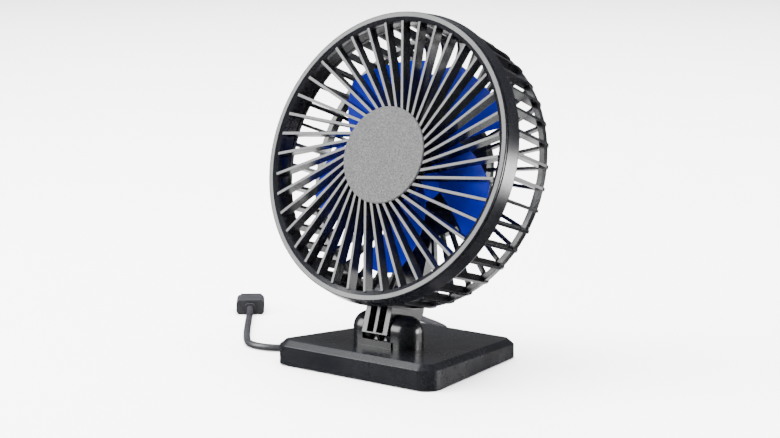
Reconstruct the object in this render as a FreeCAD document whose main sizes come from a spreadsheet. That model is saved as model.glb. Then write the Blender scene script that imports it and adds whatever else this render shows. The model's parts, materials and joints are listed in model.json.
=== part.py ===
import FreeCAD, Part
import math
import os
import Sketcher

# USB desk fan. Millimetres, +Z up, the fan looks along -Y, +X is its left-hand side as it looks out.
# The origin is on the table, under the middle of the object without its cord.
# The head's pieces are drawn upright in the head's own frame, with the fan axis along Y: y is the
# depth behind the front of the ring, z is up. HEAD then leans them back about the pivot.

doc = FreeCAD.newDocument("desk_fan")
Vector = FreeCAD.Vector
Rotation = FreeCAD.Rotation
Placement = FreeCAD.Placement
X_AXIS, Y_AXIS, Z_AXIS = Vector(1, 0, 0), Vector(0, 1, 0), Vector(0, 0, 1)


# ---------------------------------------------------------------- driving dimensions
DIMENSIONS = {
    # base
    "base_depth": 91.1, "base_front_width": 101.9, "base_back_width": 74.2,
    "base_front_top": 12.9, "base_back_top": 9.8, "base_corner": 8.2,
    "foot_gap": 0.7, "foot_thick": 1.3, "foot_radius": 6.0,
    "edge_inset": 2.7, "edge_drop": 3.2, "base_wall": 2.0, "base_cavity_top": 7.0,
    "plate_thick": 2.4, "ballast_width": 50.0, "ballast_depth": 30.0, "ballast_thick": 3.5,
    # pivot
    "pivot_height": 19.8, "pivot_forward": 15.8, "ear_inner": 8.9, "ear_outer": 20.9, "ear_round": 8.25,
    "bolt_ear_outer": 18.9, "ear_edge": 7.8, "sill_top": 15.5, "sill_deep": 2.0, "bolt_radius": 2.0,
    "pivot_play": 0.05, "knuckle_radius": 7.6, "neck_half": 8.0, "washer_thick": 0.8, "washer_radius": 5.5,
    # head
    "tilt": 18.0, "axis_above_pivot": 82.6, "pivot_depth": 30.26,
    "lip_radius": 72.6, "lip_inner": 67.8, "lip_deep": 0.9, "ring_radius": 74.1, "ring_deep": 9.4,
    "spokes": 40, "spoke_wide": 1.5, "spoke_deep": 5.8, "swirl": 11.0, "spoke_phase": 4.4,
    "hub_radius": 23.6, "badge_radius": 24.4, "badge_thick": 0.9,
    "ribs": 40, "rib_thick": 1.6, "rib_tall": 4.6, "rib_back": 3.0, "rib_phase": 2.4,
    "cage_front_radius": 73.4, "cage_back_radius": 71.3, "cage_corner": 5.6, "cage_deep": 43.5,
    "hoop_radius": 70.8, "hoop_front": 36.0, "hoop_wide": 4.2, "back_plate_radius": 35.0,
    "collar_inner": 68.2, "collar_end": 14.0, "back_plate_thick": 4.0,
    "neck_front": 21.0, "neck_back": 47.0, "slot_wide": 4.1, "slot_gap": 0.95,
    # motor and impeller
    "blades": 5, "tip_radius": 56.0, "rotor_hub_radius": 18.5, "rotor_phase": 1.0,
    "rotor_front": 12.0, "rotor_back": 32.0, "shaft_radius": 1.5, "tube_radius": 4.0,
    "cover_radius": 34.0, "cover_deep": 12.0, "button_radius": 7.0,
    # cord and plug
    "cord_diameter": 3.6, "shell_wide": 12.0, "shell_high": 4.5, "shell_long": 11.8,
    "plug_wide": 15.6, "plug_high": 8.0, "plug_long": 17.2,
}

sheet = doc.addObject("Spreadsheet::Sheet", "Dim")
for row, (alias, number) in enumerate(DIMENSIONS.items(), start=1):
    sheet.set(f"A{row}", alias)
    sheet.set(f"B{row}", str(number))
    sheet.setAlias(f"B{row}", alias)
doc.recompute()


class Size:
    """A length with its value and with the expression that the sheet works it out by."""

    def __init__(self, value, text=None):
        self.value = float(value)
        self.text = text or f"{float(value):.4f}"

    def join(self, other, sign, value):
        return Size(value, f"({self.text} {sign} {as_size(other).text})")

    def __add__(self, other):
        return self.join(other, "+", self.value + as_size(other).value)

    def __sub__(self, other):
        return self.join(other, "-", self.value - as_size(other).value)

    def __mul__(self, other):
        return self.join(other, "*", self.value * as_size(other).value)

    def __truediv__(self, other):
        return self.join(other, "/", self.value / as_size(other).value)

    def __radd__(self, other):
        return as_size(other) + self

    def __rsub__(self, other):
        return as_size(other) - self

    def __rmul__(self, other):
        return as_size(other) * self

    def __neg__(self):
        return Size(-self.value, f"(0 - {self.text})")


def as_size(thing):
    return thing if isinstance(thing, Size) else Size(thing)


class Dimensions:
    """Dim.name gives the sheet's value of that alias, as a Size."""

    def __getattr__(self, alias):
        return Size(sheet.get(alias), f"Dim.{alias}")


Dim = Dimensions()


def bind(thing, prop, size):
    size = as_size(size)
    thing.setExpression(prop, size.text)


# ---------------------------------------------------------------- placements
PIVOT = Vector(0, -Dim.pivot_forward.value, Dim.pivot_height.value)
UPRIGHT = Vector(0, -Dim.pivot_depth.value, Dim.axis_above_pivot.value)
LEAN = Placement(PIVOT, Rotation(X_AXIS, -Dim.tilt.value))
HEAD = LEAN * Placement(UPRIGHT, Rotation())


def turned(degrees):
    """The head's frame, turned about the fan axis, anticlockwise as seen from the front."""
    return HEAD * Placement(Vector(), Rotation(Y_AXIS, -degrees))


# ---------------------------------------------------------------- building blocks
def new_body(name, placement=None):
    body = doc.addObject("PartDesign::Body", name)
    body.Label = name
    if placement:
        body.Placement = placement
    return body


def plane_of(body, role):
    return next(item for item in body.Origin.OriginFeatures if item.Role == role)


def new_sketch(body, name, plane, lift=0.0, turn=0.0):
    """A sketch on XY, XZ or YZ, lifted along the plane's normal and turned about the sketch's x."""
    sketch = body.newObject("Sketcher::SketchObject", name)
    sketch.AttachmentSupport = (plane_of(body, f"{plane}_Plane"), [""])
    sketch.MapMode = "FlatFace"
    lift = as_size(lift)
    sketch.AttachmentOffset = Placement(Vector(0, 0, lift.value), Rotation(X_AXIS, turn))
    if lift.value:
        bind(sketch, ".AttachmentOffset.Base.z", lift)
    return sketch


def fix_point(sketch, item, end, across, up):
    """Holds one end of a sketch item at a place given by two sizes."""
    for kind, axis, size in (("DistanceX", -2, across), ("DistanceY", -1, up)):
        size = as_size(size)
        if abs(size.value) < 1e-9:
            sketch.addConstraint(Sketcher.Constraint("PointOnObject", item, end, axis))
            continue
        number = sketch.addConstraint(Sketcher.Constraint(kind, -1, 1, item, end, size.value))
        bind(sketch, f"Constraints[{number}]", size)


def polygon(sketch, points):
    """A closed outline through points, each held at its sizes."""
    places = [Vector(as_size(a).value, as_size(b).value, 0) for a, b in points]
    first = sketch.GeometryCount
    count = len(places)
    for n in range(count):
        sketch.addGeometry(Part.LineSegment(places[n], places[(n + 1) % count]), False)
    for n in range(count):
        here, after = first + n, first + (n + 1) % count
        sketch.addConstraint(Sketcher.Constraint("Coincident", here, 2, after, 1))
    for n, (across, up) in enumerate(points):
        fix_point(sketch, first + n, 1, across, up)


def rectangle(sketch, low, high):
    polygon(sketch, [low, (high[0], low[1]), high, (low[0], high[1])])


def circle(sketch, across, up, radius):
    radius = as_size(radius)
    place = Vector(as_size(across).value, as_size(up).value, 0)
    item = sketch.addGeometry(Part.Circle(place, Z_AXIS, radius.value), False)
    number = sketch.addConstraint(Sketcher.Constraint("Radius", item, radius.value))
    bind(sketch, f"Constraints[{number}]", radius)
    fix_point(sketch, item, 3, across, up)


def pad(body, sketch, length, middle=False, back=False):
    feature = body.newObject("PartDesign::Pad", sketch.Name + "_pad")
    feature.Profile = sketch
    bind(feature, "Length", length)
    feature.Midplane = middle
    feature.Reversed = back
    return feature


def pocket(body, sketch, length, middle=False, back=False):
    feature = body.newObject("PartDesign::Pocket", sketch.Name + "_pocket")
    feature.Profile = sketch
    bind(feature, "Length", length)
    feature.Midplane = middle
    feature.Reversed = back
    return feature


def revolution(body, sketch, axis="H_Axis"):
    feature = body.newObject("PartDesign::Revolution", sketch.Name + "_turned")
    feature.Profile = sketch
    feature.ReferenceAxis = (sketch, [axis])
    feature.Angle = 360
    return feature


def around(body, feature, count, axis="Y_Axis"):
    """Repeats a feature evenly about one of the body's axes."""
    pattern = body.newObject("PartDesign::PolarPattern", feature.Name + "_around")
    pattern.Originals = [feature]
    pattern.Axis = (plane_of(body, axis), [""])
    pattern.Angle = 360
    pattern.Occurrences = int(count)
    body.Tip = pattern
    return pattern


def edge_names(shape, wanted):
    return [f"Edge{n}" for n, edge in enumerate(shape.Edges, start=1) if wanted(edge)]


def fillet(body, base, radius, wanted):
    doc.recompute()
    feature = body.newObject("PartDesign::Fillet", base.Name + "_fillet")
    feature.Base = (base, edge_names(base.Shape, wanted))
    bind(feature, "Radius", radius)
    return feature


def simple(kind, name, **sizes):
    """A Part primitive whose named properties are bound to sizes."""
    thing = doc.addObject(kind, name)
    for prop, size in sizes.items():
        bind(thing, prop, size)
    return thing


def along_y(thing, depth, x=0.0, z=0.0, frame=None):
    """Lays a primitive's own Z along +Y, from this depth, in the given frame."""
    place = Placement(Vector(x, as_size(depth).value, z), Rotation(X_AXIS, -90))
    thing.Placement = (frame or HEAD) * place


def cylinder_y(name, radius, depth, length, frame=None, x=0.0, z=0.0):
    thing = simple("Part::Cylinder", name, Radius=radius, Height=length)
    along_y(thing, depth, x, z, frame)
    return thing


def cut(name, base, tools):
    result = doc.addObject("Part::Cut", name)
    result.Base = base
    result.Tool = tools[0] if len(tools) == 1 else joined(name + "_tools", tools)
    result.Label = name
    return result


def joined(name, things):
    result = doc.addObject("Part::MultiFuse", name)
    result.Shapes = things
    result.Label = name
    return result


def made(name, shape, placement=None):
    """A sub-part whose shape is worked out with Part's functions."""
    feature = doc.addObject("Part::Feature", name)
    if placement:
        shape.Placement = placement * shape.Placement
    feature.Shape = shape
    feature.Label = name
    return feature


def sleeve_y(name, outer, inner, depth, length):
    """A tube along the fan axis."""
    wall = cylinder_y(name + "_wall", outer, depth, length)
    hole = cylinder_y(name + "_hole", inner, as_size(depth) - 1, as_size(length) + 2)
    return cut(name, wall, [hole])


# ---------------------------------------------------------------- base
HALF_DEPTH = Dim.base_depth / 2
TOP_SLOPE = (Dim.base_front_top - Dim.base_back_top) / Dim.base_depth


def base_half_width(y):
    """Half the base's width at a place along its depth."""
    narrower = (Dim.base_front_width - Dim.base_back_width) / 2
    return Dim.base_front_width / 2 - narrower * (as_size(y) + HALF_DEPTH) / Dim.base_depth


def top_at(y):
    return Dim.base_front_top - TOP_SLOPE * (as_size(y) + HALF_DEPTH)


def base_outline(sketch, inset, corner=0.0):
    """The base's outline, set in by inset, with each corner cut off by corner."""
    edge = HALF_DEPTH - inset
    points = []
    for along, side in ((-1, -1), (-1, 1), (1, 1), (1, -1)):
        on_end = (side * (base_half_width(edge * along) - inset - corner), edge * along)
        if not corner:
            points.append(on_end)
            continue
        y = (edge - corner) * along
        on_side = (side * (base_half_width(y) - inset), y)
        points += [on_side, on_end] if along == side else [on_end, on_side]
    polygon(sketch, points)


CAVITY_CORNER = 7.0
SCREW_PLACES = [(sign * x, y) for x, y in ((35.5, -33.5), (25.5, 33.5)) for sign in (-1, 1)]
SCREW_RADIUS = 1.2
SCREW_HEAD_RADIUS = 2.3
SCREW_HEAD_HIGH = 0.85
SCREW_HEAD_TOP = 2.23
BOSS_RADIUS = 3.4
CORD_EXIT = (-22.0, HALF_DEPTH.value, 4.0)
CORD_HOLE_RADIUS = 2.3
LEAD_HOLE_Y = -12.0


def upright_edge(edge):
    ends = edge.Vertexes
    return len(ends) == 2 and (ends[0].Point - ends[1].Point).cross(Z_AXIS).Length < 1e-6


def build_base_cover():
    body = new_body("base_cover")
    outline = new_sketch(body, "cover_outline", "XY", Dim.foot_gap)
    base_outline(outline, 0)
    block = pad(body, outline, Dim.base_front_top - Dim.foot_gap)
    beyond = HALF_DEPTH + 8
    slope = new_sketch(body, "cover_slope", "YZ")
    polygon(slope, [(-beyond, top_at(-beyond)), (beyond, top_at(beyond)),
                    (beyond, Dim.base_front_top + 8), (-beyond, Dim.base_front_top + 8)])
    sloped = pocket(body, slope, Dim.base_front_width + 10, middle=True)
    rounded = fillet(body, sloped, Dim.base_corner, upright_edge)
    doc.recompute()
    chamfer = body.newObject("PartDesign::Chamfer", "cover_edge")
    chamfer.ChamferType = "Two distances"
    top = max(rounded.Shape.Faces, key=lambda face: face.CenterOfMass.z)
    loop = {edge.hashCode() for edge in top.Edges}
    chamfer.Base = (rounded, edge_names(rounded.Shape, lambda edge: edge.hashCode() in loop))
    bind(chamfer, "Size", Dim.edge_inset)
    bind(chamfer, "Size2", Dim.edge_drop)
    doc.recompute()

    for side in (-1, 1):
        build_ear(body, side)
    sill = new_sketch(body, "sill", "YZ")
    front = -Dim.pivot_forward - Dim.ear_round - 0.8
    rectangle(sill, (front, Dim.base_cavity_top), (front + Dim.sill_deep, Dim.sill_top))
    pad(body, sill, Dim.ear_inner * 2 + 2, middle=True)

    hollow = new_sketch(body, "cover_hollow", "XY", Dim.foot_gap)
    base_outline(hollow, Dim.base_wall, CAVITY_CORNER)
    pocket(body, hollow, Dim.base_cavity_top - Dim.foot_gap, back=True)
    bosses = new_sketch(body, "cover_bosses", "XY", Dim.foot_gap + Dim.plate_thick + 0.1)
    for x, y in SCREW_PLACES:
        circle(bosses, x, y, BOSS_RADIUS)
    pad(body, bosses, Dim.base_cavity_top - Dim.foot_gap - Dim.plate_thick + 0.4)
    holes = new_sketch(body, "boss_holes", "XY", Dim.foot_gap)
    for x, y in SCREW_PLACES:
        circle(holes, x, y, SCREW_RADIUS)
    pocket(body, holes, Dim.base_cavity_top - Dim.foot_gap, back=True)
    cut_pivot_holes(body)
    lead_hole = new_sketch(body, "lead_hole", "XY", Dim.base_cavity_top - 1)
    circle(lead_hole, 0, LEAD_HOLE_Y, 2.0)
    pocket(body, lead_hole, 9, back=True)
    cord_hole = new_sketch(body, "cord_hole", "XZ", -HALF_DEPTH - 1)
    circle(cord_hole, CORD_EXIT[0], CORD_EXIT[2], CORD_HOLE_RADIUS)
    pocket(body, cord_hole, Dim.base_wall + 2, back=True)


def build_ear(body, side):
    """One upright ear: an arch as seen from the side, with its outer edge well rounded."""
    name = "ear_left" if side > 0 else "ear_right"
    centre, half, foot = PIVOT.y, Dim.ear_round.value, Dim.base_cavity_top.value
    outer = Dim.ear_outer if side > 0 else Dim.bolt_ear_outer
    sketch = new_sketch(body, name, "YZ", Dim.ear_inner if side > 0 else -outer)
    crown = Vector(centre, PIVOT.z, 0)
    left, right = centre - half, centre + half
    lines = [
        Part.LineSegment(Vector(left, foot, 0), Vector(right, foot, 0)),
        Part.LineSegment(Vector(right, foot, 0), Vector(right, PIVOT.z, 0)),
        Part.ArcOfCircle(Part.Circle(crown, Z_AXIS, half), 0, math.pi),
        Part.LineSegment(Vector(left, PIVOT.z, 0), Vector(left, foot, 0)),
    ]
    for line in lines:
        sketch.addGeometry(line, False)
    joints = (("Coincident", 0, 1), ("Tangent", 1, 2), ("Tangent", 2, 3), ("Coincident", 3, 0))
    for kind, first, second in joints:
        sketch.addConstraint(Sketcher.Constraint(kind, first, 2, second, 1))
    sketch.addConstraint(Sketcher.Constraint("Vertical", 1))
    fix_point(sketch, 0, 1, -Dim.pivot_forward - Dim.ear_round, Dim.base_cavity_top)
    fix_point(sketch, 0, 2, Dim.ear_round - Dim.pivot_forward, Dim.base_cavity_top)
    fix_point(sketch, 2, 3, -Dim.pivot_forward, Dim.pivot_height)
    ear = pad(body, sketch, outer - Dim.ear_inner)
    flank = side * outer.value

    def rim(edge):
        box = edge.BoundBox
        flat = abs(box.XMin - flank) < 0.01 and abs(box.XMax - flank) < 0.01
        return flat and box.ZMax > Dim.base_front_top.value

    fillet(body, ear, Dim.ear_edge, rim)


NUT_RADIUS = 4.0
NUT_HIGH = 3.2
BOLT_HEAD_RADIUS = 3.5
BOLT_HEAD_HIGH = 2.2


def cut_pivot_holes(body):
    """The bolt's hole through one ear, its head's recess, and the nut's pocket in the other ear."""
    bore = new_sketch(body, "pivot_bore", "YZ", -Dim.bolt_ear_outer - 1)
    circle(bore, -Dim.pivot_forward, Dim.pivot_height, Dim.bolt_radius + Dim.pivot_play)
    pocket(body, bore, Dim.bolt_ear_outer + Dim.ear_inner + NUT_HIGH + 3, back=True)
    recess = new_sketch(body, "head_recess", "YZ", -Dim.bolt_ear_outer - 1)
    circle(recess, -Dim.pivot_forward, Dim.pivot_height, BOLT_HEAD_RADIUS + 0.3)
    pocket(body, recess, BOLT_HEAD_HIGH + 2.6, back=True)
    nut = new_sketch(body, "nut_pocket", "YZ", Dim.ear_inner)
    polygon(nut, hexagon(NUT_RADIUS + 0.1))
    pocket(body, nut, NUT_HIGH + 0.2, back=True)


def hexagon(radius):
    return [
        (radius * math.cos(math.radians(a)) - Dim.pivot_forward.value,
         radius * math.sin(math.radians(a)) + Dim.pivot_height.value)
        for a in range(0, 360, 60)
    ]


def build_base_plate():
    body = new_body("base_plate")
    outline = new_sketch(body, "plate_outline", "XY", Dim.foot_gap)
    base_outline(outline, Dim.base_wall + 0.15, CAVITY_CORNER)
    pad(body, outline, Dim.plate_thick)
    holes = new_sketch(body, "plate_holes", "XY", Dim.foot_gap)
    for x, y in SCREW_PLACES:
        circle(holes, x, y, SCREW_RADIUS + 0.2)
    pocket(body, holes, Dim.plate_thick + 1, back=True)
    seats = new_sketch(body, "foot_seats", "XY", Dim.foot_gap)
    for x, y in SCREW_PLACES:
        circle(seats, x, y, Dim.foot_radius + 0.1)
    pocket(body, seats, Dim.foot_thick - Dim.foot_gap + 0.05, back=True)
    sinks = new_sketch(body, "screw_sinks", "XY", Dim.foot_gap)
    for x, y in SCREW_PLACES:
        circle(sinks, x, y, SCREW_HEAD_RADIUS + 0.2)
    pocket(body, sinks, SCREW_HEAD_TOP - Dim.foot_gap + 0.02, back=True)


def build_ballast():
    plate = simple("Part::Box", "ballast_blank", Length=Dim.ballast_width, Width=Dim.ballast_depth,
                   Height=Dim.ballast_thick)
    plate.Placement.Base = Vector(-Dim.ballast_width.value / 2, 8 - Dim.ballast_depth.value / 2,
                                  Dim.foot_gap.value + Dim.plate_thick.value + 0.1)
    doc.recompute()
    result = doc.addObject("Part::Fillet", "ballast_plate")
    result.Base = plate
    corners = [n for n, edge in enumerate(plate.Shape.Edges, start=1) if upright_edge(edge)]
    result.Edges = [(n, 3.0, 3.0) for n in corners]
    result.Label = "ballast_plate"
    return result


def build_feet():
    pads = []
    for n, (x, y) in enumerate(SCREW_PLACES):
        blank = simple("Part::Cylinder", f"foot_blank_{n}", Radius=Dim.foot_radius, Height=Dim.foot_thick)
        blank.Placement.Base = Vector(x, y, 0)
        pads.append(blank)
    return joined("rubber_feet", pads)


def build_base_screws():
    """Pan-head screws up through the plate into the cover's bosses, under the feet."""
    screws = []
    seat = SCREW_HEAD_TOP - SCREW_HEAD_HIGH
    for n, (x, y) in enumerate(SCREW_PLACES):
        stem = simple("Part::Cylinder", f"screw_stem_{n}", Radius=SCREW_RADIUS - 0.02, Height=4.6)
        head = simple("Part::Cylinder", f"screw_head_{n}", Radius=SCREW_HEAD_RADIUS, Height=SCREW_HEAD_HIGH)
        for thing in (stem, head):
            thing.Placement.Base = Vector(x, y, seat)
            screws.append(thing)
    joined("base_screws", screws)


# ---------------------------------------------------------------- pivot
def build_pivot():
    reach = Dim.ear_inner + NUT_HIGH + 1.5
    start = -Dim.bolt_ear_outer + 1.4
    stem = simple("Part::Cylinder", "bolt_stem", Radius=Dim.bolt_radius, Height=reach - start)
    head = simple("Part::Cylinder", "bolt_head", Radius=BOLT_HEAD_RADIUS, Height=BOLT_HEAD_HIGH)
    for thing in (stem, head):
        thing.Placement = Placement(Vector(start.value, PIVOT.y, PIVOT.z), Rotation(Y_AXIS, 90))
    bolt = joined("bolt_blank", [stem, head])
    socket = simple("Part::Prism", "bolt_socket", Circumradius=1.5, Height=1.4)
    socket.Polygon = 6
    socket.Placement = Placement(Vector(start.value - 0.1, PIVOT.y, PIVOT.z), Rotation(Y_AXIS, 90))
    cut("pivot_bolt", bolt, [socket])

    nut = simple("Part::Prism", "nut_blank", Circumradius=NUT_RADIUS, Height=NUT_HIGH)
    nut.Polygon = 6
    nut.Placement = Placement(Vector(Dim.ear_inner.value + 0.1, PIVOT.y, PIVOT.z), Rotation(Y_AXIS, 90))
    bore = simple("Part::Cylinder", "nut_bore", Radius=Dim.bolt_radius, Height=NUT_HIGH + 2)
    bore.Placement = Placement(Vector(Dim.ear_inner.value - 1, PIVOT.y, PIVOT.z), Rotation(Y_AXIS, 90))
    cut("pivot_nut", nut, [bore])

    rings = []
    for side in (-1, 1):
        start = side * Dim.neck_half.value + (0.05 if side > 0 else -0.05 - Dim.washer_thick.value)
        wall = simple("Part::Cylinder", f"washer_wall_{side + 1}", Radius=Dim.washer_radius,
                      Height=Dim.washer_thick)
        hole = simple("Part::Cylinder", f"washer_hole_{side + 1}", Radius=Dim.bolt_radius + 0.1, Height=3)
        wall.Placement = Placement(Vector(start, PIVOT.y, PIVOT.z), Rotation(Y_AXIS, 90))
        hole.Placement = Placement(Vector(start - 1, PIVOT.y, PIVOT.z), Rotation(Y_AXIS, 90))
        rings.append(cut(f"washer_{side + 1}", wall, [hole]))
    joined("friction_washers", rings)


# ---------------------------------------------------------------- front grille
def build_front_grille():
    body = new_body("front_grille", turned(Dim.spoke_phase.value))
    ring = new_sketch(body, "ring_section", "YZ")
    lip, inner, deep = Dim.lip_radius, Dim.lip_inner, Dim.ring_deep
    seat = Dim.collar_inner + 3.2
    polygon(ring, [
        (0, inner + 2.2), (0, lip - 0.4), (0.15, lip - 0.1), (0.45, lip), (Dim.lip_deep, lip + 0.05),
        (Dim.lip_deep, lip - 0.6), (Dim.lip_deep + 0.6, lip - 0.6), (Dim.lip_deep + 0.6, lip + 0.2),
        (deep - 0.7, Dim.ring_radius), (deep - 0.15, Dim.ring_radius - 0.15),
        (deep, Dim.ring_radius - 0.6), (deep, seat), (4.2, seat), (4.2, Dim.collar_inner), (1.4, inner),
    ])
    revolution(body, ring)
    hub = new_sketch(body, "hub_section", "YZ")
    rim = Dim.hub_radius
    polygon(hub, [
        (0.9, 0), (0.9, rim), (1.0 + Dim.spoke_deep, rim), (1.0 + Dim.spoke_deep, rim - 2),
        (2.9, rim - 2), (2.9, 0),
    ])
    revolution(body, hub)
    spoke = new_sketch(body, "spoke_face", "XZ", -0.7)
    half = Dim.spoke_wide / 2
    rectangle(spoke, (Dim.hub_radius * 0.86, -Dim.swirl - half),
              (Dim.lip_inner - 0.65, half - Dim.swirl))
    bar = pad(body, spoke, Dim.spoke_deep, back=True)
    doc.recompute()
    around(body, bar, DIMENSIONS["spokes"])


def build_badge():
    badge = cylinder_y("badge_blank", Dim.badge_radius, 0.9 - Dim.badge_thick, Dim.badge_thick)
    doc.recompute()
    result = doc.addObject("Part::Chamfer", "grille_badge")
    result.Base = badge
    front = HEAD.multVec(Vector(0, 0.9 - Dim.badge_thick.value, 0))
    rims = [n for n, edge in enumerate(badge.Shape.Edges, start=1)
            if isinstance(edge.Curve, Part.Circle) and (edge.Curve.Center - front).Length < 0.01]
    result.Edges = [(n, 0.3, 0.3) for n in rims]
    result.Label = "grille_badge"
    return result


# ---------------------------------------------------------------- rear cage and neck
COVER_SCREWS = [
    (27.5 * math.cos(math.radians(a)), 27.5 * math.sin(math.radians(a))) for a in (90, 210, 330)
]
LEAD_DEPTH = 44.6
LEAD_RADIUS = 1.1


def rib_section(sketch):
    """One rib seen edge-on: along the side, round the corner, then in to the back plate."""
    front, back, tall = Dim.ring_deep, Dim.cage_deep, Dim.rib_tall
    side, far, corner = Dim.cage_front_radius, Dim.cage_back_radius, Dim.cage_corner
    inward = back - Dim.rib_back
    polygon(sketch, [
        (front, side), (back - corner, far), (back - corner * 0.5, far - corner * 0.13),
        (back - corner * 0.13, far - corner * 0.5), (back, far - corner),
        (back, Dim.back_plate_radius - 1), (inward, Dim.back_plate_radius - 1),
        (inward, far - corner - 1.6), (inward - 1.6, far - tall), (front, side - tall),
    ])


def build_rear_cage():
    body = new_body("rear_cage", HEAD)
    collar = new_sketch(body, "collar_section", "YZ")
    inner, end = Dim.collar_inner, Dim.collar_end
    polygon(collar, [
        (4.4, inner), (10.6, inner), (10.6, inner + 0.35), (11.4, inner + 0.35), (11.4, inner),
        (12.4, inner), (12.4, inner + 0.35), (end, inner + 0.35), (end, inner + 1.7),
        (8.9, inner + 1.7), (8.5, inner + 3.1), (4.4, inner + 3.1),
    ])
    revolution(body, collar)
    plate = new_sketch(body, "plate_section", "YZ")
    front = Dim.cage_deep - Dim.back_plate_thick
    polygon(plate, [(front, 0), (front, Dim.back_plate_radius), (Dim.cage_deep, Dim.back_plate_radius),
                    (Dim.cage_deep, 0)])
    revolution(body, plate)
    hoop = new_sketch(body, "hoop_section", "YZ")
    radius = Dim.hoop_radius
    end = Dim.hoop_front + Dim.hoop_wide
    polygon(hoop, [(Dim.hoop_front, radius - 3.0), (Dim.hoop_front, radius), (end, radius - 0.7),
                   (end, radius - 3.7)])
    revolution(body, hoop)
    build_neck(body)
    rib = new_sketch(body, "rib_side", "YZ", turn=DIMENSIONS["rib_phase"])
    rib_section(rib)
    bar = pad(body, rib, Dim.rib_thick, middle=True)
    doc.recompute()
    around(body, bar, DIMENSIONS["ribs"])


def build_neck(body):
    """The stem under the cage: two side walls and a middle rib, open in front, and its knuckle."""
    down = -Dim.axis_above_pivot
    front, back = Dim.neck_front, Dim.neck_back
    stem = new_sketch(body, "stem_side", "YZ")
    polygon(stem, [
        (front, Size(-65)), (front, down - 3.8), (Dim.pivot_depth - 6.5, down - 3.9),
        (Dim.pivot_depth - 3, down - 5.2), (Dim.pivot_depth + 3, down - 5.2), (back, down + 9),
        (back, Size(-30)),
        (Dim.cage_deep - Dim.back_plate_thick + 1, Size(-30)),
        (Dim.cage_deep - Dim.back_plate_thick + 1, Size(-60)), (Dim.cage_deep - 6, Size(-65)),
    ])
    pad(body, stem, Dim.neck_half * 2, middle=True)
    knuckle = new_sketch(body, "knuckle_side", "YZ")
    circle(knuckle, Dim.pivot_depth, down, Dim.knuckle_radius)
    pad(body, knuckle, Dim.neck_half * 2, middle=True)
    slots = new_sketch(body, "neck_slots", "XZ", -Dim.neck_front + 1)
    near, far = Dim.slot_gap, Dim.slot_gap + Dim.slot_wide
    for low, high in ((near, far), (-far, -near)):
        rectangle(slots, (low, down - 3.1), (high, Size(-63.5)))
    pocket(body, slots, 7.0)
    lower = new_sketch(body, "neck_windows", "XZ", -Dim.neck_front + 1)
    for low, high in ((near, far), (-far, -near)):
        rectangle(lower, (low, down - 8), (high, down - 3.8))
    pocket(body, lower, 7.0)
    bore = new_sketch(body, "knuckle_bore", "YZ")
    circle(bore, Dim.pivot_depth, down, Dim.bolt_radius + Dim.pivot_play)
    pocket(body, bore, Dim.neck_half * 2 + 2, middle=True)
    socket = new_sketch(body, "tube_seat", "XZ", -Dim.cage_deep - 1)
    circle(socket, 0, 0, Dim.tube_radius)
    pocket(body, socket, Dim.back_plate_thick + 2, back=True)
    screws = new_sketch(body, "cover_screw_holes", "XZ", -Dim.cage_deep - 1)
    for x, z in COVER_SCREWS:
        circle(screws, x, z, 1.0)
    pocket(body, screws, Dim.back_plate_thick, back=True)
    channel = new_sketch(body, "lead_channel", "XY", -Size(26))
    circle(channel, 0, LEAD_DEPTH, LEAD_RADIUS + 0.15)
    pocket(body, channel, 45)


# ---------------------------------------------------------------- motor cover, switch and button
def build_motor_cover():
    body = new_body("motor_cover", HEAD)
    shell = new_sketch(body, "cover_section", "YZ")
    start, deep, radius = Dim.cage_deep + 0.05, Dim.cover_deep, Dim.cover_radius
    hole = Dim.button_radius + 0.3
    polygon(shell, [
        (start, radius - 2), (start, radius), (start + deep * 0.45, radius - 0.8),
        (start + deep * 0.8, radius - 4.5), (start + deep, radius - 10), (start + deep, hole),
        (start + deep - 2, hole), (start + deep - 2, radius - 10.8), (start + deep * 0.66, radius - 6),
        (start + deep * 0.42, radius - 2.6),
    ])
    revolution(body, shell)
    vents = new_sketch(body, "vent_slot", "XZ", -Dim.cage_deep - Dim.cover_deep - 2)
    rectangle(vents, (Size(12), Size(-0.9)), (Size(20), Size(0.9)))
    slot = pocket(body, vents, 5, back=True)
    doc.recompute()
    around(body, slot, 16)
    posts = new_sketch(body, "screw_posts", "XZ", -Dim.cage_deep - 0.1)
    for x, z in COVER_SCREWS:
        circle(posts, x, z, 2.6)
    pad(body, posts, 7, back=True)
    notch = new_sketch(body, "stem_notch", "XZ", -Dim.cage_deep)
    rectangle(notch, (-Dim.neck_half - 0.2, Size(-36)), (Dim.neck_half + 0.2, Size(-29.8)))
    pocket(body, notch, 4.3)
    holes = new_sketch(body, "post_holes", "XZ", -Dim.cage_deep + 1)
    for x, z in COVER_SCREWS:
        circle(holes, x, z, 1.0)
    pocket(body, holes, 6)


def build_cover_screws():
    """Screws through the back plate from the motor's side into the cover's posts."""
    screws = []
    seat = Dim.cage_deep - Dim.back_plate_thick
    for n, (x, z) in enumerate(COVER_SCREWS):
        stem = cylinder_y(f"cover_stem_{n}", 0.98, seat - 0.1, 8.2, x=x, z=z)
        head = cylinder_y(f"cover_head_{n}", 1.9, seat - 1.4, 1.35, x=x, z=z)
        screws += [stem, head]
    joined("cover_screws", screws)


SWITCH_START = 1.0
SWITCH_HALF = 3.5
PLUNGER_RADIUS = 1.6
PRESS_TRAVEL = 1.5


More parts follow.
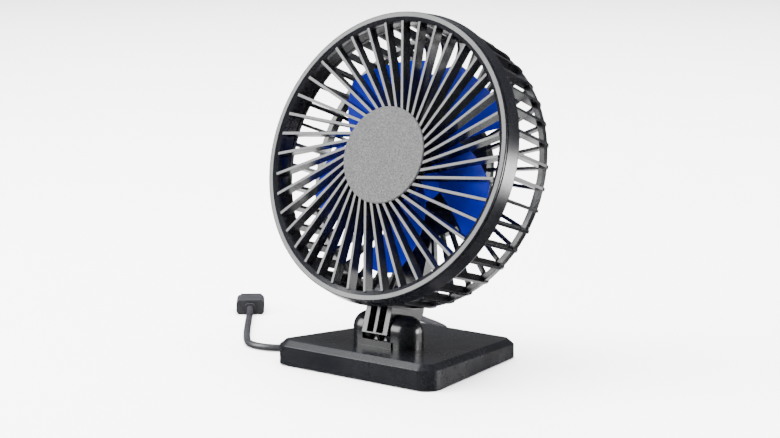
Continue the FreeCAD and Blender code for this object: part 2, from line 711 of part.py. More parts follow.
def build_switch():
    """A latching push switch on the back plate; its plunger is fixed in the button."""
    base = Dim.cage_deep + SWITCH_START
    case = simple("Part::Box", "switch_blank", Length=SWITCH_HALF * 2, Width=5.5, Height=SWITCH_HALF * 2)
    case.Placement = HEAD * Placement(Vector(-SWITCH_HALF, base.value, -SWITCH_HALF), Rotation())
    well = cylinder_y("switch_well", PLUNGER_RADIUS + 0.15, base + 1.5, 5)
    case = cut("push_switch", case, [well])
    tip = base + 1.5 + PRESS_TRAVEL + 0.4
    stem = cylinder_y("plunger_stem", PLUNGER_RADIUS, tip, 6.2)
    stem.Label = "plunger_blank"
    joined("switch_plunger", [stem, cylinder_y("plunger_collar", 2.4, tip + 5.2, 1.0)])
    return case, tip


def build_button():
    body = new_body("power_button", HEAD)
    section = new_sketch(body, "button_section", "YZ")
    base = Dim.cage_deep + SWITCH_START + 1.5 + PRESS_TRAVEL + 0.4
    top = base + 10.6
    radius = Dim.button_radius
    polygon(section, [
        (base + 6.25, 0), (base + 6.25, 3.0), (base + 5.0, 3.0), (base + 5.0, 4.4), (top - 2.4, 4.4),
        (top - 2.4, radius - 1.4), (base + 3.2, radius - 1.4), (base + 3.2, radius),
        (top - 0.8, radius), (top, radius - 1.0), (top - 0.4, 0),
    ])
    revolution(body, section)


# ---------------------------------------------------------------- motor
def build_motor():
    sleeve_y("bearing_tube", Dim.tube_radius, 3.0, 16.4, Dim.cage_deep - 16.5)
    for name, depth in (("front_bush", 16.8), ("rear_bush", 33.0)):
        sleeve_y(name, 3.0, Dim.shaft_radius + 0.03, depth, 5.0)
    build_stator()
    board = cylinder_y("board_blank", 15.0, 34.6, 1.2)
    hole = cylinder_y("board_hole", Dim.tube_radius, 33, 4)
    cut("circuit_board", board, [hole])
    build_rotor()


def build_stator():
    """Nine poles with broad shoes on a ring that sits on the bearing tube, and a coil on each."""
    body = new_body("stator_core", HEAD)
    ring = new_sketch(body, "core_ring", "XZ", -Size(22))
    circle(ring, 0, 0, 6.5)
    pad(body, ring, 8, back=True)
    pole = new_sketch(body, "core_pole", "XZ", -Size(22))
    polygon(pole, [
        (5.5, -1.1), (10.6, -1.1), (10.6, -3.6), (12.4, -3.3), (12.9, 0), (12.4, 3.3), (10.6, 3.6),
        (10.6, 1.1), (5.5, 1.1),
    ])
    arm = pad(body, pole, 8, back=True)
    doc.recompute()
    around(body, arm, 9)
    bore = new_sketch(body, "core_bore", "XZ", -Size(21))
    circle(bore, 0, 0, Dim.tube_radius)
    pocket(body, bore, 10)
    coils = []
    for n in range(9):
        coil = Part.makeBox(3.4, 9.6, 4.2, Vector(6.9, 21.2, -2.1))
        coil = coil.cut(Part.makeBox(4.4, 8.04, 2.24, Vector(6.4, 21.98, -1.12)))
        coil.rotate(Vector(), Y_AXIS, -40 * n)
        coils.append(coil)
    made("stator_windings", Part.makeCompound(coils), HEAD)


def build_rotor():
    front, back = Dim.rotor_front, Dim.rotor_back
    cup_front = front + 2.6
    body = new_body("rotor_cup", HEAD)
    section = new_sketch(body, "cup_section", "YZ")
    outer = Dim.rotor_hub_radius - 2.2
    polygon(section, [
        (cup_front, Dim.shaft_radius), (cup_front, outer), (back, outer), (back, outer - 1),
        (cup_front + 1, outer - 1), (cup_front + 1, 2.6), (cup_front + 1.6, 2.6),
        (cup_front + 1.6, Dim.shaft_radius),
    ])
    revolution(body, section)
    sleeve_y("magnet_ring", outer - 1, outer - 3, 21.0, 10.0)
    shaft = cylinder_y("shaft_blank", Dim.shaft_radius, front + 2.2, 26.0)
    neck = sleeve_y("shaft_groove", 2.5, 1.1, 39.0, 0.6)
    cut("motor_shaft", shaft, [neck])
    clip = sleeve_y("clip_blank", 2.6, 1.12, 39.05, 0.5)
    gap = simple("Part::Box", "clip_gap", Length=1.6, Width=2, Height=4)
    gap.Placement = HEAD * Placement(Vector(-0.8, 38.5, 0.6), Rotation())
    cut("retaining_clip", clip, [gap])


# ---------------------------------------------------------------- impeller
def blade_section(radius):
    """The blade cut by a cylinder about the fan axis: a closed wire of two curves and two ends."""
    hub, tip = Dim.rotor_hub_radius.value - 1.0, Dim.tip_radius.value
    share = (radius - hub) / (tip - hub)
    trailing = 42.0 - 50.0 * share
    leading = -36.0 - 10.0 * share
    front = 14.0 + 1.6 * share
    back = 30.5 + 2.0 * share
    thick = 1.7 - 0.7 * share
    curves = []
    for offset in (0.5, -0.5):
        points = []
        for step in range(7):
            t = step / 6
            angle = math.radians(trailing + (leading - trailing) * t)
            bow = 1.6 * math.sin(math.pi * t)
            edge = 0.35 + 0.65 * math.sin(math.pi * t) ** 0.5
            depth = front + (back - front) * t - bow + offset * thick * edge
            points.append(Vector(radius * math.cos(angle), depth, radius * math.sin(angle)))
        curve = Part.BSplineCurve()
        curve.interpolate(points)
        curves.append((curve.toShape(), points))
    (lower, first), (upper, second) = curves
    ends = [Part.makeLine(first[-1], second[-1]), Part.makeLine(second[0], first[0])]
    return Part.Wire([lower, ends[0], upper, ends[1]])


def build_impeller():
    hub = Dim.rotor_hub_radius.value
    front, back, tip = Dim.rotor_front.value, Dim.rotor_back.value, Dim.tip_radius.value
    stations = [hub - 1.0 + (tip + 1.5 - hub) * n / 5 for n in range(6)]
    blade = Part.makeLoft([blade_section(radius) for radius in stations], True, False)
    cup = Part.makeCylinder(hub, back - front, Vector(0, front, 0), Y_AXIS)
    nose = [edge for edge in cup.Edges
            if isinstance(edge.Curve, Part.Circle) and abs(edge.Curve.Center.y - front) < 0.01]
    cup = cup.makeFillet(2.4, nose)
    inside = hub - 2.2
    hollow = Part.makeCylinder(inside, back - front, Vector(0, front + 2.6, 0), Y_AXIS)
    bore = Part.makeCylinder(Dim.shaft_radius.value, 8, Vector(0, front + 2.0, 0), Y_AXIS)
    blades = []
    for n in range(DIMENSIONS["blades"]):
        copy = blade.copy()
        copy.rotate(Vector(), Y_AXIS, -360.0 * n / DIMENSIONS["blades"])
        blades.append(copy)
    envelope = Part.makeCylinder(tip, 40, Vector(0, 5, 0), Y_AXIS)
    whole = cup.fuse(blades).common(envelope).cut(hollow).cut(bore).removeSplitter()
    made("impeller", whole, turned(Dim.rotor_phase.value))


# ---------------------------------------------------------------- lead, cord and plug
RELIEF_LONG = 9.0
RELIEF_RADIUS = 2.8
INNER_LEAD = 2.2
FLOOR = DIMENSIONS["cord_diameter"] / 2 + 0.1
COIL_CENTRE = (-112.0, 129.0)
COIL_INNER, COIL_OUTER, COIL_HIGH = 14.5, 25.5, 7.3
OUT_ROUTE = [
    (CORD_EXIT[0], CORD_EXIT[1] + RELIEF_LONG - 0.5, 4.0), (-22.8, 61.5, 3.4), (-28.0, 69.0, FLOOR),
    (-37.0, 74.0, FLOOR), (-47.0, 78.0, FLOOR), (-57.0, 83.0, FLOOR), (-66.0, 91.0, FLOOR),
    (-74.0, 101.0, FLOOR), (-81.0, 112.0, FLOOR), (-86.5, 123.0, FLOOR), (-89.2, 135.1, FLOOR),
]
BACK_ROUTE = [
    (-111.3, 105.4, FLOOR + 3.6), (-98.0, 105.6, 3.6), (-87.0, 97.5, FLOOR), (-77.0, 84.0, FLOOR),
    (-69.0, 67.0, FLOOR), (-61.5, 48.0, FLOOR), (-57.0, 28.0, FLOOR), (-55.5, 7.0, FLOOR),
    (-57.0, -13.0, FLOOR), (-68.0, -25.5, FLOOR), (-84.0, -26.5, FLOOR), (-96.0, -15.0, FLOOR),
    (-109.0, -0.5, FLOOR), (-121.5, 14.0, FLOOR), (-131.0, 25.5, 3.2), (-138.5, 34.0, 4.1),
]
LEAD_ROUTE = [
    (CORD_EXIT[0], CORD_EXIT[1] - 2.9, 4.6), (-19.8, 35.0, 4.6), (-21.0, 28.5, 4.6),
    (-27.5, 25.5, 4.6), (-30.5, 15.0, 4.6), (-31.0, 3.0, 4.6), (-27.0, -8.0, 4.6),
    (-16.0, -12.0, 4.6), (-5.0, -12.0, 4.6),
]
PLUG_AXIS = 4.1
CONTACTS_Y = (-3.5, -1.2, 1.2, 3.5)


def tube(points, diameter):
    """A round tube along straight runs joined by tangent arcs as large as the runs allow."""
    places = [Vector(*p) for p in points]
    edges = []
    start = places[0]
    for before, here, after in zip(places, places[1:], places[2:]):
        back, ahead = (before - here), (after - here)
        turn = math.pi - back.getAngle(ahead)
        reach = 0.45 * min(back.Length, ahead.Length)
        radius = reach / math.tan(turn / 2)
        back.normalize()
        ahead.normalize()
        enter, leave = here + back * reach, here + ahead * reach
        middle = (back + ahead).normalize() * (radius / math.cos(turn / 2) - radius) + here
        edges += [Part.LineSegment(start, enter).toShape(), Part.Arc(enter, middle, leave).toShape()]
        start = leave
    edges.append(Part.LineSegment(start, places[-1]).toShape())
    ring = Part.Circle(places[0], places[1] - places[0], diameter / 2)
    return Part.Wire(edges).makePipeShell([Part.Wire([ring.toShape()])], True, True)


def build_cord():
    diameter = Dim.cord_diameter.value
    runs = [tube(route, diameter) for route in (OUT_ROUTE, BACK_ROUTE)]
    for run, route in zip(runs, (OUT_ROUTE, BACK_ROUTE)):
        straight = sum((Vector(*b) - Vector(*a)).Length for a, b in zip(route, route[1:]))
        share = run.Volume / (math.pi * diameter ** 2 / 4 * straight)
        if not 0.97 < share < 1.01:
            raise RuntimeError(f"a cord tube has {share:.3f} of its section times its length")
    made("power_cord", Part.makeCompound(runs))
    middle = Vector(*COIL_CENTRE, 0)
    ring = Part.makeCylinder(COIL_OUTER, COIL_HIGH, middle, Z_AXIS)
    ring = ring.cut(Part.makeCylinder(COIL_INNER, COIL_HIGH, middle, Z_AXIS))
    made("cord_coil", ring.cut(runs))
    build_grommet()
    made("base_lead", tube(LEAD_ROUTE, INNER_LEAD))


def build_grommet():
    """The strain relief behind the base, its barrel in the wall and a square collar inside."""
    wall = Dim.base_wall.value
    x, y, z = CORD_EXIT
    taper = Part.makeCone(RELIEF_RADIUS, 2.15, RELIEF_LONG, Vector(x, y, z), Y_AXIS)
    barrel = Part.makeCylinder(CORD_HOLE_RADIUS - 0.1, wall, Vector(x, y - wall, z), Y_AXIS)
    collar = Part.makeBox(7.2, 0.9, 3.55, Vector(x - 3.6, y - wall - 0.9, 3.25))
    bore = Part.makeCylinder(INNER_LEAD / 2 + 0.02, wall + 2, Vector(x, y - wall - 1, z + 0.6), Y_AXIS)
    cord_end = Vector(x, y + RELIEF_LONG - 0.5, z)
    socket = Part.makeCylinder(Dim.cord_diameter.value / 2, 1, cord_end, Y_AXIS)
    made("cord_grommet", taper.fuse([barrel, collar]).cut([bore, socket]).removeSplitter())


def build_plug():
    """The plug lies flat on the table, in line with the end of the cord."""
    end, before = Vector(*BACK_ROUTE[-1]), Vector(*BACK_ROUTE[-2])
    heading = math.degrees(math.atan2(end.y - before.y, end.x - before.x))
    frame = Placement(Vector(end.x, end.y, PLUG_AXIS), Rotation(Z_AXIS, heading))
    wide, high, length = Dim.plug_wide.value, Dim.plug_high.value, Dim.plug_long.value
    body = rounded_block(wide, high, length, 2.2).translated(Vector(3.0, 0, 0))
    relief = rounded_block(5.8, 5.2, 3.2, 1.8)
    socket = rounded_block(Dim.shell_wide.value, Dim.shell_high.value, 4.0, 0.4)
    socket.translate(Vector(3.0 + length - 3.9, 0, 0))
    made("plug_body", body.fuse(relief).cut(socket).removeSplitter(), frame)
    reach = 3.0 + length - 3.9
    shell = rounded_block(Dim.shell_wide.value, Dim.shell_high.value, Dim.shell_long.value + 3.9, 0.4)
    space = rounded_block(Dim.shell_wide.value - 0.7, Dim.shell_high.value - 0.7, 30, 0.2)
    shell = shell.cut(space.translated(Vector(-1, 0, 0)))
    for side in (-1, 1):
        shell = shell.cut(Part.makeBox(2.0, 2.2, 20, Vector(9.4, side * 3.0 - 1.1, -10)))
    made("plug_shell", shell.translated(Vector(reach, 0, 0)), frame)
    tongue = Part.makeBox(Dim.shell_long.value + 3.0, 11.2, 1.7, Vector(reach + 0.1, -5.6, -1.85))
    tails = [Part.makeBox(7.5, 1.1, 0.25, Vector(reach + 6.4, y - 0.55, -0.15)) for y in CONTACTS_Y]
    made("plug_tongue", tongue, frame)
    made("plug_contacts", Part.makeCompound(tails), frame)


def rounded_block(wide, high, length, corner):
    """A block along +X with its long edges rounded, centred across."""
    block = Part.makeBox(length, wide, high, Vector(0, -wide / 2, -high / 2))
    long_edges = [edge for edge in block.Edges
                  if (edge.Vertexes[0].Point - edge.Vertexes[1].Point).cross(X_AXIS).Length < 1e-6]
    return block.makeFillet(corner, long_edges)


def build_head_lead():
    lead = Part.makeCylinder(LEAD_RADIUS, 43.5, Vector(0, LEAD_DEPTH, -70.5), Z_AXIS)
    made("head_lead", lead, HEAD)


# ---------------------------------------------------------------- the whole fan
PARTS = [
    "base_cover", "base_plate", "ballast_plate", "rubber_feet", "base_screws", "pivot_bolt",
    "pivot_nut", "friction_washers", "cord_grommet", "base_lead", "power_cord", "cord_coil",
    "plug_body", "plug_shell", "plug_tongue", "plug_contacts", "front_grille", "grille_badge",
    "rear_cage", "motor_cover", "cover_screws", "circuit_board", "push_switch", "switch_plunger",
    "power_button", "bearing_tube", "front_bush", "rear_bush", "stator_core", "stator_windings",
    "head_lead", "impeller", "rotor_cup", "magnet_ring", "motor_shaft", "retaining_clip",
]

for build in (
    build_base_cover, build_base_plate, build_ballast, build_feet, build_base_screws, build_pivot,
    build_front_grille, build_badge, build_rear_cage, build_motor_cover, build_cover_screws,
    build_switch, build_button, build_motor, build_impeller, build_cord, build_plug, build_head_lead,
):
    build()
doc.recompute()

failed = [item.Name for item in doc.Objects if {"Invalid", "Error"} & set(item.State)]
if failed:
    for name in failed:
        print(name, doc.getObject(name).getStatusString())
    raise RuntimeError(f"these objects failed: {failed}")

os.makedirs("parts", exist_ok=True)
for label in PARTS:
    found = doc.getObjectsByLabel(label)
    shape = found[0].Shape
    if shape.isNull() or not shape.isValid():
        raise RuntimeError(f"{label} has no valid shape")
    shape.exportStep(f"parts/{label}.step")
    print(f"{label}: {len(shape.Solids)} solids, {shape.Volume / 1000:.2f} cm3")
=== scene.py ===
import json
import math
import bmesh
import bpy
from mathutils import Matrix, Vector


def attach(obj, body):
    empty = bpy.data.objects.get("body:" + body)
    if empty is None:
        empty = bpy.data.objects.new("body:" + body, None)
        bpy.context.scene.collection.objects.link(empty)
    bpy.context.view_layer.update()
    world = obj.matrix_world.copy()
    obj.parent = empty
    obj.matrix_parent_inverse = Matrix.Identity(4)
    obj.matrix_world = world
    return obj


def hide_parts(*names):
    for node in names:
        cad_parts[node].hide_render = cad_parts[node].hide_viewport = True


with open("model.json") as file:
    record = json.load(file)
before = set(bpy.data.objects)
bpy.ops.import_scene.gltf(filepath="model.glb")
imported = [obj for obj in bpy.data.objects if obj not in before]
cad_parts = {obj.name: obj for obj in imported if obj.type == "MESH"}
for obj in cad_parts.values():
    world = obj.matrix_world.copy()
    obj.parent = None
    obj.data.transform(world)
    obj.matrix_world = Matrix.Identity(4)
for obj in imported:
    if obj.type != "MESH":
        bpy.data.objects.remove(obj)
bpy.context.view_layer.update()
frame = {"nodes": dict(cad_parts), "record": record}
scene = bpy.context.scene
NODES = frame["nodes"]


# ---------------------------------------------------------------- camera
EYE = Vector((0.61684, -0.78336, 0.23427))
AIM = Vector((0.004443, -0.0188, 0.076061))
lens = bpy.data.cameras.new("camera")
lens.lens = 93.13
lens.sensor_width = 36.0
lens.clip_start = 0.02
camera = bpy.data.objects.new("camera", lens)
camera.location = EYE
camera.rotation_euler = (AIM - EYE).to_track_quat("-Z", "Y").to_euler()
scene.collection.objects.link(camera)
scene.camera = camera


# ---------------------------------------------------------------- frame of the head
TILT = math.radians(18.0)
PIVOT = Vector((0.0, -0.0158, 0.0198))
BACKWARD = Vector((0.0, math.cos(TILT), -math.sin(TILT)))
UPWARD = Vector((0.0, math.sin(TILT), math.cos(TILT)))
RING_MIDDLE = PIVOT - BACKWARD * 0.03026 + UPWARD * 0.0826

# Takes (sideways, depth, height) from the middle of the ring's front to a place in the frame.
HEAD = Matrix((
    (1, 0, 0, 0),
    (0, BACKWARD.y, UPWARD.y, RING_MIDDLE.y),
    (0, BACKWARD.z, UPWARD.z, RING_MIDDLE.z),
    (0, 0, 0, 1),
))


# ---------------------------------------------------------------- materials
class Recipe:
    """Builds one procedural material: a Principled shader and the noise that feeds it."""

    def __init__(self, name, color, roughness, metallic=0.0, coat=0.0, specular=0.5):
        self.material = bpy.data.materials.new(name)
        self.material.use_nodes = True
        self.tree = self.material.node_tree
        self.shader = self.tree.nodes["Principled BSDF"]
        self.shader.inputs["Base Color"].default_value = (*color, 1)
        self.shader.inputs["Roughness"].default_value = roughness
        self.shader.inputs["Metallic"].default_value = metallic
        self.shader.inputs["Coat Weight"].default_value = coat
        self.shader.inputs["Coat Roughness"].default_value = 0.12
        self.shader.inputs["Specular IOR Level"].default_value = specular
        self.place = self.tree.nodes.new("ShaderNodeTexCoord").outputs["Object"]
        self.height = None
        self.worn_edge = None

    def soft_edges(self, radius):
        """Lets the light catch moulded edges as if they were very slightly rounded."""
        node = self.tree.nodes.new("ShaderNodeBevel")
        node.samples = 4
        node.inputs["Radius"].default_value = radius
        self.worn_edge = node.outputs["Normal"]
        return self

    def link(self, start, end):
        self.tree.links.new(start, end)

    def noise(self, scale, detail=3.0, stretch=None, rough=0.55):
        node = self.tree.nodes.new("ShaderNodeTexNoise")
        node.inputs["Scale"].default_value = scale
        node.inputs["Detail"].default_value = detail
        node.inputs["Roughness"].default_value = rough
        place = self.place
        if stretch:
            mapping = self.tree.nodes.new("ShaderNodeMapping")
            mapping.inputs["Scale"].default_value = stretch
            self.link(place, mapping.inputs["Vector"])
            place = mapping.outputs["Vector"]
        self.link(place, node.inputs["Vector"])
        return node.outputs["Fac"]

    def cells(self, scale):
        node = self.tree.nodes.new("ShaderNodeTexVoronoi")
        node.inputs["Scale"].default_value = scale
        self.link(self.place, node.inputs["Vector"])
        return node.outputs["Distance"]

    def ramp(self, fac, stops):
        node = self.tree.nodes.new("ShaderNodeValToRGB")
        ramp = node.color_ramp
        for position, color in stops[2:]:
            ramp.elements.new(position)
        for element, (position, color) in zip(ramp.elements, sorted(stops)):
            element.position = position
            element.color = (*color, 1)
        self.link(fac, node.inputs["Fac"])
        return node.outputs["Color"]

    def spread(self, fac, low, high, start=0.3, end=0.7):
        node = self.tree.nodes.new("ShaderNodeMapRange")
        for name, value in (("From Min", start), ("From Max", end), ("To Min", low), ("To Max", high)):
            node.inputs[name].default_value = value
        self.link(fac, node.inputs["Value"])
        return node.outputs["Result"]

    def color(self, fac, stops):
        self.link(self.ramp(fac, stops), self.shader.inputs["Base Color"])
        return self

    def roughness(self, fac, low, high):
        self.link(self.spread(fac, low, high), self.shader.inputs["Roughness"])
        return self

    def bump(self, fac, deep, strength=1.0):
        node = self.tree.nodes.new("ShaderNodeBump")
        node.inputs["Distance"].default_value = deep
        node.inputs["Strength"].default_value = strength
        self.link(fac, node.inputs["Height"])
        if self.height:
            self.link(self.height, node.inputs["Normal"])
        elif self.worn_edge:
            self.link(self.worn_edge, node.inputs["Normal"])
        self.height = node.outputs["Normal"]
        self.link(self.height, self.shader.inputs["Normal"])
        return self


def plastic(name, dark, light, low, high, specular=0.5, grain=900.0, grain_deep=0.00001, waves=0.00004):
    """Moulded plastic: faint flow marks, a fine grain and a gloss that is not quite even."""
    made = Recipe(name, dark, low, specular=specular).soft_edges(0.0003)
    made.color(made.noise(38.0, 4.0), [(0.3, dark), (0.72, light)])
    made.roughness(made.noise(55.0, 5.0), low, high)
    made.bump(made.noise(26.0, 1.5), waves, 0.5)
    made.bump(made.noise(grain, 2.0), grain_deep, 0.6)
    return made.material


def metal(name, dark, light, low, high, stretch, fine=140.0):
    """Plated or brushed metal, its scratches drawn out along one way."""
    made = Recipe(name, dark, low, metallic=1.0)
    streaks = made.noise(fine, 4.0, stretch)
    made.color(streaks, [(0.3, dark), (0.7, light)])
    made.roughness(made.noise(fine * 1.7, 3.0, stretch), low, high)
    made.bump(streaks, 0.000012, 0.5)
    return made.material


def jacket(name, dark, light, low, high):
    """Soft moulded PVC with a dull, slightly uneven skin."""
    made = Recipe(name, dark, low)
    made.color(made.noise(70.0, 4.0), [(0.3, dark), (0.7, light)])
    made.roughness(made.noise(130.0, 4.0), low, high)
    made.bump(made.noise(1400.0, 2.0), 0.00002, 0.5)
    return made.material


def badge():
    """Grey metallic paint with a fine bright and dark speckle."""
    made = Recipe("badge_metal", (0.1, 0.1, 0.1), 0.5, specular=0.16)
    speckle = made.noise(1900.0, 2.0, rough=0.7)
    made.color(speckle, [(0.32, (0.022, 0.022, 0.023)), (0.5, (0.043, 0.043, 0.044)),
                         (0.68, (0.084, 0.084, 0.085))])
    made.roughness(made.noise(1100.0, 2.0), 0.42, 0.62)
    made.bump(speckle, 0.00002, 0.5)
    return made.material


def magnet():
    made = Recipe("magnet", (0.03, 0.03, 0.03), 0.75)
    made.color(made.cells(900.0), [(0.1, (0.022, 0.021, 0.021)), (0.8, (0.06, 0.055, 0.052))])
    made.roughness(made.noise(300.0), 0.6, 0.9)
    made.bump(made.noise(900.0), 0.00004, 0.8)
    return made.material


def board():
    """Solder mask over faint copper tracks."""
    made = Recipe("board", (0.01, 0.12, 0.05), 0.35, coat=0.4)
    made.color(made.cells(260.0), [(0.1, (0.012, 0.17, 0.07)), (0.5, (0.006, 0.075, 0.032))])
    made.roughness(made.noise(200.0), 0.25, 0.45)
    made.bump(made.cells(260.0), 0.00005, 0.6)
    return made.material


BLACK_GLOSS = plastic("black_gloss", (0.0035, 0.0038, 0.0050), (0.0060, 0.0064, 0.0080), 0.20, 0.30,
                      specular=0.32)
BLACK_SATIN = plastic("black_satin", (0.020, 0.020, 0.023), (0.032, 0.032, 0.035), 0.40, 0.52,
                      grain_deep=0.00002)
BLUE = plastic("blue_blade", (0.0003, 0.0055, 0.24), (0.0010, 0.010, 0.36), 0.34, 0.44, specular=0.22)
WHITE = plastic("white_plastic", (0.74, 0.74, 0.72), (0.84, 0.84, 0.82), 0.35, 0.48)
BLACK_PLASTIC = plastic("black_plastic", (0.016, 0.016, 0.018), (0.028, 0.028, 0.030), 0.5, 0.65,
                        grain_deep=0.00003)
RUBBER = jacket("rubber", (0.012, 0.012, 0.012), (0.026, 0.026, 0.026), 0.72, 0.88)
CABLE = jacket("cable", (0.011, 0.011, 0.013), (0.020, 0.020, 0.023), 0.38, 0.52)
STEEL = metal("steel", (0.36, 0.36, 0.38), (0.56, 0.56, 0.58), 0.24, 0.40, (1, 6, 6))
PLUG_STEEL = metal("plug_steel", (0.62, 0.62, 0.63), (0.80, 0.80, 0.81), 0.14, 0.24, (5, 5, 1), 220.0)
GOLD = metal("gold", (0.72, 0.44, 0.13), (0.92, 0.62, 0.24), 0.2, 0.3, (3, 3, 1), 200.0)
BRONZE = metal("bronze", (0.34, 0.20, 0.09), (0.50, 0.32, 0.16), 0.45, 0.62, (1, 1, 1), 500.0)
COPPER = metal("copper", (0.42, 0.11, 0.03), (0.62, 0.21, 0.07), 0.22, 0.34, (1, 20, 1), 400.0)

FINISHES = {
    "black_gloss": BLACK_GLOSS, "black_satin": BLACK_SATIN, "blue_blade": BLUE, "badge_metal": badge(),
    "steel": STEEL, "plug_steel": PLUG_STEEL, "gold": GOLD, "white_plastic": WHITE,
    "black_plastic": BLACK_PLASTIC, "rubber": RUBBER, "cable": CABLE, "copper": COPPER,
    "bronze": BRONZE, "board": board(), "magnet": magnet(),
}


def smooth(thing, degrees):
    """Rounds the shading over gentle edges and keeps the sharp ones."""
    mesh = thing.data
    mesh.polygons.foreach_set("use_smooth", [True] * len(mesh.polygons))
    mesh.set_sharp_from_angle(angle=math.radians(degrees))


for entry in frame["record"]["subparts"]:
    node = NODES[entry["node"]]
    if not node.material_slots:
        node.data.materials.append(None)
    for place in node.material_slots:
        place.material = FINISHES[entry["material_slot"]]


# ---------------------------------------------------------------- pieces
def show(name, mesh, body, slot):
    """Adds a visible piece that rides a body and wears the finish of a slot."""
    thing = bpy.data.objects.new(name, mesh)
    scene.collection.objects.link(thing)
    mesh.materials.append(FINISHES[slot])
    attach(thing, body)
    return thing


MM = Matrix.Scale(0.001, 4)


def turned(form, section, angle, centre):
    """Adds one loop of a turned shape: (radius, depth) pairs swung round to this angle."""
    across, up = math.cos(angle), math.sin(angle)
    return [form.verts.new(centre + Vector((r * across, d, r * up))) for r, d in section]


def join(form, one, other):
    """Joins two closed loops of as many points each with a band of faces."""
    for k in range(len(one)):
        after = (k + 1) % len(one)
        form.faces.new((one[k], one[after], other[after], other[k]))


def finished(form, name, place):
    """Turns a form drawn in millimetres into a mesh, its faces outward and set in its place."""
    bmesh.ops.recalc_face_normals(form, faces=form.faces)
    bmesh.ops.transform(form, matrix=place, verts=form.verts)
    mesh = bpy.data.meshes.new(name)
    form.to_mesh(mesh)
    form.free()
    return mesh


CORD_RADIUS = 0.0018
LOW_ROW = 0.0019
TOP_ROW = LOW_ROW + 0.0036
COIL = Vector((-0.112, 0.129, 0.0))
OUTER, MIDDLE, INNER = 0.0236, 0.0200, 0.0164
PER_TURN = 16
FIRST, LAST = 15, 1712  # degrees round the coil


def coil_points():
    """Turns of the put-away lead: three columns below going in, then three above coming out."""
    dwell = [
        (FIRST, OUTER, LOW_ROW), (225, OUTER, LOW_ROW), (270, MIDDLE, LOW_ROW),
        (585, MIDDLE, LOW_ROW), (630, INNER, LOW_ROW), (900, INNER, LOW_ROW),
        (945, INNER, TOP_ROW), (1215, INNER, TOP_ROW), (1260, MIDDLE, TOP_ROW),
        (1575, MIDDLE, TOP_ROW), (1620, OUTER, TOP_ROW), (LAST, OUTER, TOP_ROW),
    ]
    # The curve runs inside its control points, so they are set further out by this much.
    bulge = 1 / (0.75 + 0.25 * math.cos(math.tau / PER_TURN))
    count = round((LAST - FIRST) * PER_TURN / 360)
    points = []
    for n in range(1, count):
        angle = FIRST + (LAST - FIRST) * n / count
        for (a, r1, z1), (b, r2, z2) in zip(dwell, dwell[1:]):
            if a <= angle <= b:
                share = (angle - a) / (b - a)
                share = share * share * (3 - 2 * share)
                radius, height = r1 + (r2 - r1) * share, z1 + (z2 - z1) * share
                break
        turn = math.radians(angle)
        radius *= bulge
        points.append((COIL.x + radius * math.cos(turn), COIL.y + radius * math.sin(turn), height))
    return points


# Millimetres: from the grommet to the coil, then from the coil to the plug.
OUT_ROUTE = [
    (-22.0, 54.05, 4.0), (-22.8, 61.5, 3.4), (-28.0, 69.0, 1.9), (-37.0, 74.0, 1.9),
    (-47.0, 78.0, 1.9), (-57.0, 83.0, 1.9), (-66.0, 91.0, 1.9), (-74.0, 101.0, 1.9),
    (-81.0, 112.0, 1.9), (-86.5, 123.0, 1.9),
]
BACK_ROUTE = [
    (-98.0, 105.6, 3.6), (-87.0, 97.5, 1.9), (-77.0, 84.0, 1.9), (-69.0, 67.0, 1.9),
    (-61.5, 48.0, 1.9), (-57.0, 28.0, 1.9), (-55.5, 7.0, 1.9), (-57.0, -13.0, 1.9),
    (-68.0, -25.5, 1.9), (-84.0, -26.5, 1.9), (-96.0, -15.0, 1.9), (-109.0, -0.5, 1.9),
    (-121.5, 14.0, 1.9), (-131.0, 25.5, 3.2), (-138.5, 34.0, 4.1),
]


def metres(points):
    return [tuple(v / 1000 for v in p) for p in points]


line = bpy.data.curves.new("power_lead", "CURVE")
line.dimensions = "3D"
line.resolution_u = 6
line.bevel_depth = CORD_RADIUS
line.bevel_resolution = 5
line.use_fill_caps = True
spline = line.splines.new("NURBS")
route = metres(OUT_ROUTE) + coil_points() + metres(BACK_ROUTE)
spline.points.add(len(route) - 1)
for point, place in zip(spline.points, route):
    point.co = (*place, 1)
spline.order_u = 3
spline.use_endpoint_u = True
line.materials.append(CABLE)
lead = bpy.data.objects.new("power_lead", line)
scene.collection.objects.link(lead)
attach(lead, "base")
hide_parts("power_cord", "cord_coil")


# ---------------------------------------------------------------- strain relief, tie and button mark
RELIEF_START, RELIEF_LONG = 45.55, 9.0
RELIEF_RADIUS, RELIEF_TAPER = 2.8, 0.65


def relief_rings():
    """Soft moulded collars along the strain relief."""
    form = bmesh.new()
    steps = 40
    centre = Vector((-22.0, 0, 4.0))
    for n in range(5):
        y = 47.0 + 1.5 * n
        radius = RELIEF_RADIUS - RELIEF_TAPER * (y - RELIEF_START) / RELIEF_LONG
        section = [(radius - 0.3, y - 0.45), (radius + 0.18, y - 0.38), (radius + 0.32, y - 0.2),
                   (radius + 0.32, y + 0.2), (radius + 0.18, y + 0.38), (radius - 0.3, y + 0.45)]
        loops = [turned(form, section, math.tau * k / steps, centre) for k in range(steps)]
        for k, loop in enumerate(loops):
            join(form, loop, loops[(k + 1) % steps])
    return finished(form, "relief_rings", MM)


smooth(show("relief_rings", relief_rings(), "base", "cable"), 40)


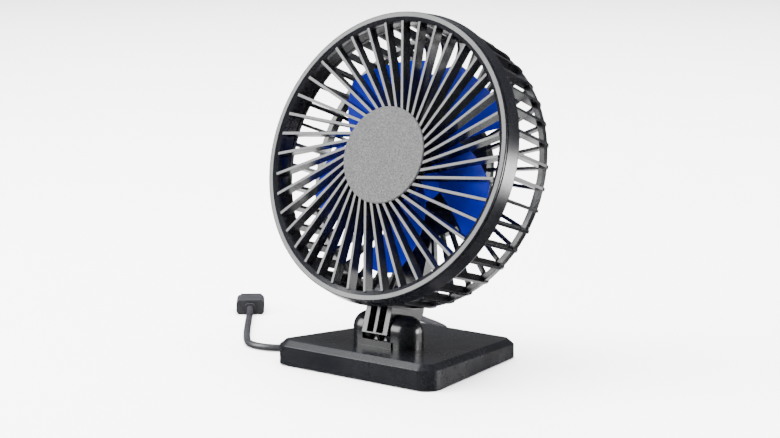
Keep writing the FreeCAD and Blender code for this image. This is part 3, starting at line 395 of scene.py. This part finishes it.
def tie_mesh():
    """A soft strap arched over the coil's turns, down to the table on either side of them."""
    middle, angle = 20.0, math.radians(118)
    across = Vector((math.cos(angle), math.sin(angle), 0))
    along = Vector((-math.sin(angle), math.cos(angle), 0))
    outline = [(-5.7, 0.1), (-5.9, 1.4), (-5.9, 5.8), (-5.2, 7.5), (-3.6, 7.9), (3.6, 7.9), (5.2, 7.5),
               (5.9, 5.8), (5.9, 1.4), (5.7, 0.1)]
    form = bmesh.new()
    rows = []
    for step, thin in ((-3.0, 0.1), (-2.8, 0.35), (-1.0, 0.35), (1.0, 0.35), (2.8, 0.35), (3.0, 0.1)):
        inside = [(r * 0.94, max(z - thin * 1.6, 0.1)) for r, z in reversed(outline)]
        rows.append([
            form.verts.new(COIL * 1000 + across * (middle + r) + along * step + Vector((0, 0, z)))
            for r, z in outline + inside
        ])
    for one, other in zip(rows, rows[1:]):
        join(form, one, other)
    form.faces.new(rows[0])
    form.faces.new(list(reversed(rows[-1])))
    return finished(form, "coil_tie", MM)


smooth(show("coil_tie", tie_mesh(), "base", "rubber"), 50)

MARK_FLOOR, MARK_TOP = 57.9, 58.42
MARK_INNER, MARK_OUTER = 1.95, 2.55


def power_mark():
    """The usual open ring and bar of a push switch, standing just proud of the button's face."""
    form = bmesh.new()
    section = [(MARK_INNER, MARK_FLOOR), (MARK_OUTER, MARK_FLOOR), (MARK_OUTER, MARK_TOP),
               (MARK_INNER, MARK_TOP)]
    loops = []
    steps, gap_end, sweep = 40, 125, 290
    for n in range(steps + 1):
        angle = math.radians(gap_end + sweep * n / steps)
        loops.append(turned(form, section, angle, Vector()))
    form.faces.new(loops[0])
    for one, other in zip(loops, loops[1:]):
        join(form, one, other)
    form.faces.new(list(reversed(loops[-1])))
    bar = bmesh.ops.create_cube(form, size=1.0)["verts"]
    deep = MARK_TOP - MARK_FLOOR
    bmesh.ops.scale(form, vec=(MARK_OUTER - MARK_INNER, deep, 2.1), verts=bar)
    bmesh.ops.translate(form, vec=(0, MARK_FLOOR + deep / 2, 2.0), verts=bar)
    return finished(form, "power_mark", HEAD @ MM)


show("power_mark", power_mark(), "button", "white_plastic")


# ---------------------------------------------------------------- floor and light
def pale_floor():
    made = Recipe("floor", (0.93, 0.93, 0.93), 0.75, specular=0.2)
    made.color(made.noise(3.0), [(0.3, (0.92, 0.92, 0.92)), (0.7, (0.94, 0.94, 0.94))])
    return made.material


mesh = bpy.data.meshes.new("floor")
mesh.from_pydata([(-6, -6, 0), (6, -6, 0), (6, 6, 0), (-6, 6, 0)], [], [(0, 1, 2, 3)])
floor = bpy.data.objects.new("floor", mesh)
floor.data.materials.append(pale_floor())
scene.collection.objects.link(floor)
floor.visible_glossy = False

world = bpy.data.worlds.new("studio")
world.use_nodes = True
world.node_tree.nodes["Background"].inputs["Color"].default_value = (1, 1, 1, 1)
world.node_tree.nodes["Background"].inputs["Strength"].default_value = 0.16
scene.world = world


def softbox(name, place, facing, wide, high, power, mirrored=True, scattered=True):
    """A square light at this place, facing a point.

    mirrored is whether gloss shows it, and scattered whether it lights dull surfaces.
    """
    data = bpy.data.lights.new(name, "AREA")
    data.shape = "RECTANGLE"
    data.size, data.size_y, data.energy = wide, high, power
    light = bpy.data.objects.new(name, data)
    light.location = place
    light.rotation_euler = (Vector(facing) - light.location).to_track_quat("-Z", "Y").to_euler()
    light.visible_camera = False
    light.visible_glossy = mirrored
    light.visible_diffuse = scattered
    scene.collection.objects.link(light)


FAN = (0.0, -0.01, 0.09)
softbox("front_left", (-0.80, -0.94, 0.51), FAN, 0.75, 0.75, 40)
softbox("high_left", (-0.75, -0.42, 0.95), FAN, 0.5, 0.5, 10)
softbox("right_rear", (0.47, 0.40, 0.03), (0.05, 0.0, 0.08), 0.52, 0.26, 4, scattered=False)
softbox("right_edge", (0.55, 0.30, 0.05), (0.07, 0.0, 0.10), 0.22, 0.16, 5, scattered=False)
softbox("below_rear", (-0.38, 0.60, -0.62), FAN, 0.9, 0.9, 9, scattered=False)
softbox("overhead", (0.0, 0.0, 2.4), FAN, 3.0, 3.0, 560, mirrored=False)
softbox("far_floor", (-1.9, 2.3, 2.3), (-1.9, 2.3, 0.0), 3.0, 3.0, 260, mirrored=False)
